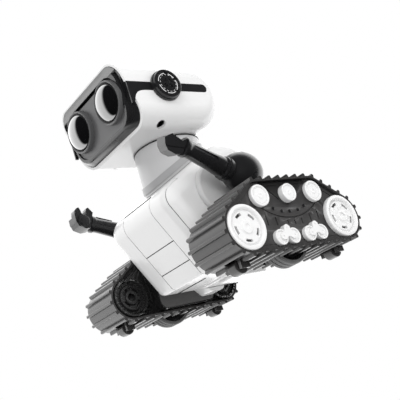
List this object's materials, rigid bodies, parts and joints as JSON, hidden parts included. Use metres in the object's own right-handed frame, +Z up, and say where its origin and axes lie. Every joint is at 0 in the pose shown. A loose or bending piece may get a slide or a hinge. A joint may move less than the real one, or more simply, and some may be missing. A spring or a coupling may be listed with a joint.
{
  "type": "two wheel robot car",
  "caption": "Toy robot on two driven wheels hidden under moulded track pods, with a pitched torso, turning head and raised claw arms.",
  "frame": {"origin": "On the ground under the middle of the toy's bounding box.", "axes": "+Z up, -Y the way the robot faces, +X its left side."},
  "size_m": [0.2348, 0.1721, 0.218],
  "materials": {
    "white_plastic": "gloss",
    "light_grey_plastic": "satin",
    "dark_grey_plastic": "satin",
    "black_plastic": "satin",
    "lens_plastic": "mirror gloss",
    "tyre_rubber": "matte",
    "steel": "brushed",
    "board": "satin",
    "battery_sleeve": "gloss"
  },
  "bodies": {
    "base": {"battery_door": "white_plastic", "battery_pack": "battery_sleeve", "chest_panel": "white_plastic", "circuit_board": "board", "front_cover": "white_plastic", "left_drive_motor": "steel", "left_front_bogie": "white_plastic", "left_front_wheel": "white_plastic", "left_hip_link": "white_plastic", "left_inner_cover": "dark_grey_plastic", "left_rear_bogie": "white_plastic", "left_rear_wheel": "white_plastic", "left_shoulder_socket": "light_grey_plastic", "left_side_plate": "dark_grey_plastic", "left_track_shell": "dark_grey_plastic", "left_upper_wheel_front": "white_plastic", "left_upper_wheel_middle": "white_plastic", "left_upper_wheel_rear": "white_plastic", "neck": "light_grey_plastic", "right_drive_motor": "steel", "right_front_bogie": "white_plastic", "right_front_wheel": "white_plastic", "right_hip_link": "white_plastic", "right_inner_cover": "dark_grey_plastic", "right_rear_bogie": "white_plastic", "right_rear_wheel": "white_plastic", "right_shoulder_socket": "light_grey_plastic", "right_side_plate": "dark_grey_plastic", "right_track_shell": "dark_grey_plastic", "right_upper_wheel_front": "white_plastic", "right_upper_wheel_middle": "white_plastic", "right_upper_wheel_rear": "white_plastic", "speaker": "black_plastic", "torso_shell": "white_plastic"},
    "head": {"head_shell": "white_plastic", "face_bezel": "black_plastic", "face_plate": "dark_grey_plastic", "left_eye_lens": "lens_plastic", "right_eye_lens": "lens_plastic", "left_ear_disc": "black_plastic", "right_ear_disc": "black_plastic"},
    "left_drive": {"left_drive_wheel": "black_plastic", "left_drive_tyre": "tyre_rubber"},
    "left_pinion": {"left_motor_pinion": "steel"},
    "left_front_roller": {"left_front_roller": "dark_grey_plastic"},
    "left_rear_roller": {"left_rear_roller": "dark_grey_plastic"},
    "left_arm": {"left_shoulder_cap": "black_plastic", "left_forearm": "black_plastic", "left_hand": "black_plastic"},
    "right_drive": {"right_drive_wheel": "black_plastic", "right_drive_tyre": "tyre_rubber"},
    "right_pinion": {"right_motor_pinion": "steel"},
    "right_front_roller": {"right_front_roller": "dark_grey_plastic"},
    "right_rear_roller": {"right_rear_roller": "dark_grey_plastic"},
    "right_arm": {"right_shoulder_cap": "black_plastic", "right_forearm": "black_plastic", "right_hand": "black_plastic"},
    "switch": {"power_switch": "black_plastic"}
  },
  "joints": [
    {"name": "head_pan", "type": "hinge", "parent": "base", "child": "head", "pos_m": [0, -0.00688, 0.154], "axis": [0, 0, 1], "range_deg": [-40, 40]},
    {"name": "left_drive_spin", "type": "hinge", "parent": "base", "child": "left_drive", "pos_m": [0.091, 0.00642, 0.0228], "axis": [1, 0, 0], "continuous": true},
    {"name": "left_pinion_spin", "type": "hinge", "parent": "base", "child": "left_pinion", "pos_m": [0.0817, 0.00642, 0.04205], "axis": [1, 0, 0], "continuous": true},
    {"name": "left_front_roller_spin", "type": "hinge", "parent": "base", "child": "left_front_roller", "pos_m": [0.09, -0.04958, 0.0066], "axis": [1, 0, 0], "continuous": true},
    {"name": "left_rear_roller_spin", "type": "hinge", "parent": "base", "child": "left_rear_roller", "pos_m": [0.09, 0.06242, 0.0066], "axis": [1, 0, 0], "continuous": true},
    {"name": "left_shoulder", "type": "hinge", "parent": "base", "child": "left_arm", "pos_m": [0.06, 0.00042, 0.092], "axis": [1, 0, 0], "range_deg": [-12, 30]},
    {"name": "right_drive_spin", "type": "hinge", "parent": "base", "child": "right_drive", "pos_m": [-0.091, 0.00642, 0.0228], "axis": [1, 0, 0], "continuous": true},
    {"name": "right_pinion_spin", "type": "hinge", "parent": "base", "child": "right_pinion", "pos_m": [-0.0817, 0.00642, 0.04205], "axis": [1, 0, 0], "continuous": true},
    {"name": "right_front_roller_spin", "type": "hinge", "parent": "base", "child": "right_front_roller", "pos_m": [-0.09, -0.04958, 0.0066], "axis": [1, 0, 0], "continuous": true},
    {"name": "right_rear_roller_spin", "type": "hinge", "parent": "base", "child": "right_rear_roller", "pos_m": [-0.09, 0.06242, 0.0066], "axis": [1, 0, 0], "continuous": true},
    {"name": "right_shoulder", "type": "hinge", "parent": "base", "child": "right_arm", "pos_m": [-0.06, 0.00042, 0.092], "axis": [1, 0, 0], "range_deg": [-12, 30]},
    {"name": "power_slide", "type": "slide", "parent": "base", "child": "switch", "axis": [1, 0, 0], "range_m": [0, 0.0052]}
  ],
  "couplings": [
    {"joint": "left_pinion_spin", "follows": "left_drive_spin", "ratio": -2.8},
    {"joint": "right_pinion_spin", "follows": "right_drive_spin", "ratio": -2.8}
  ]
}
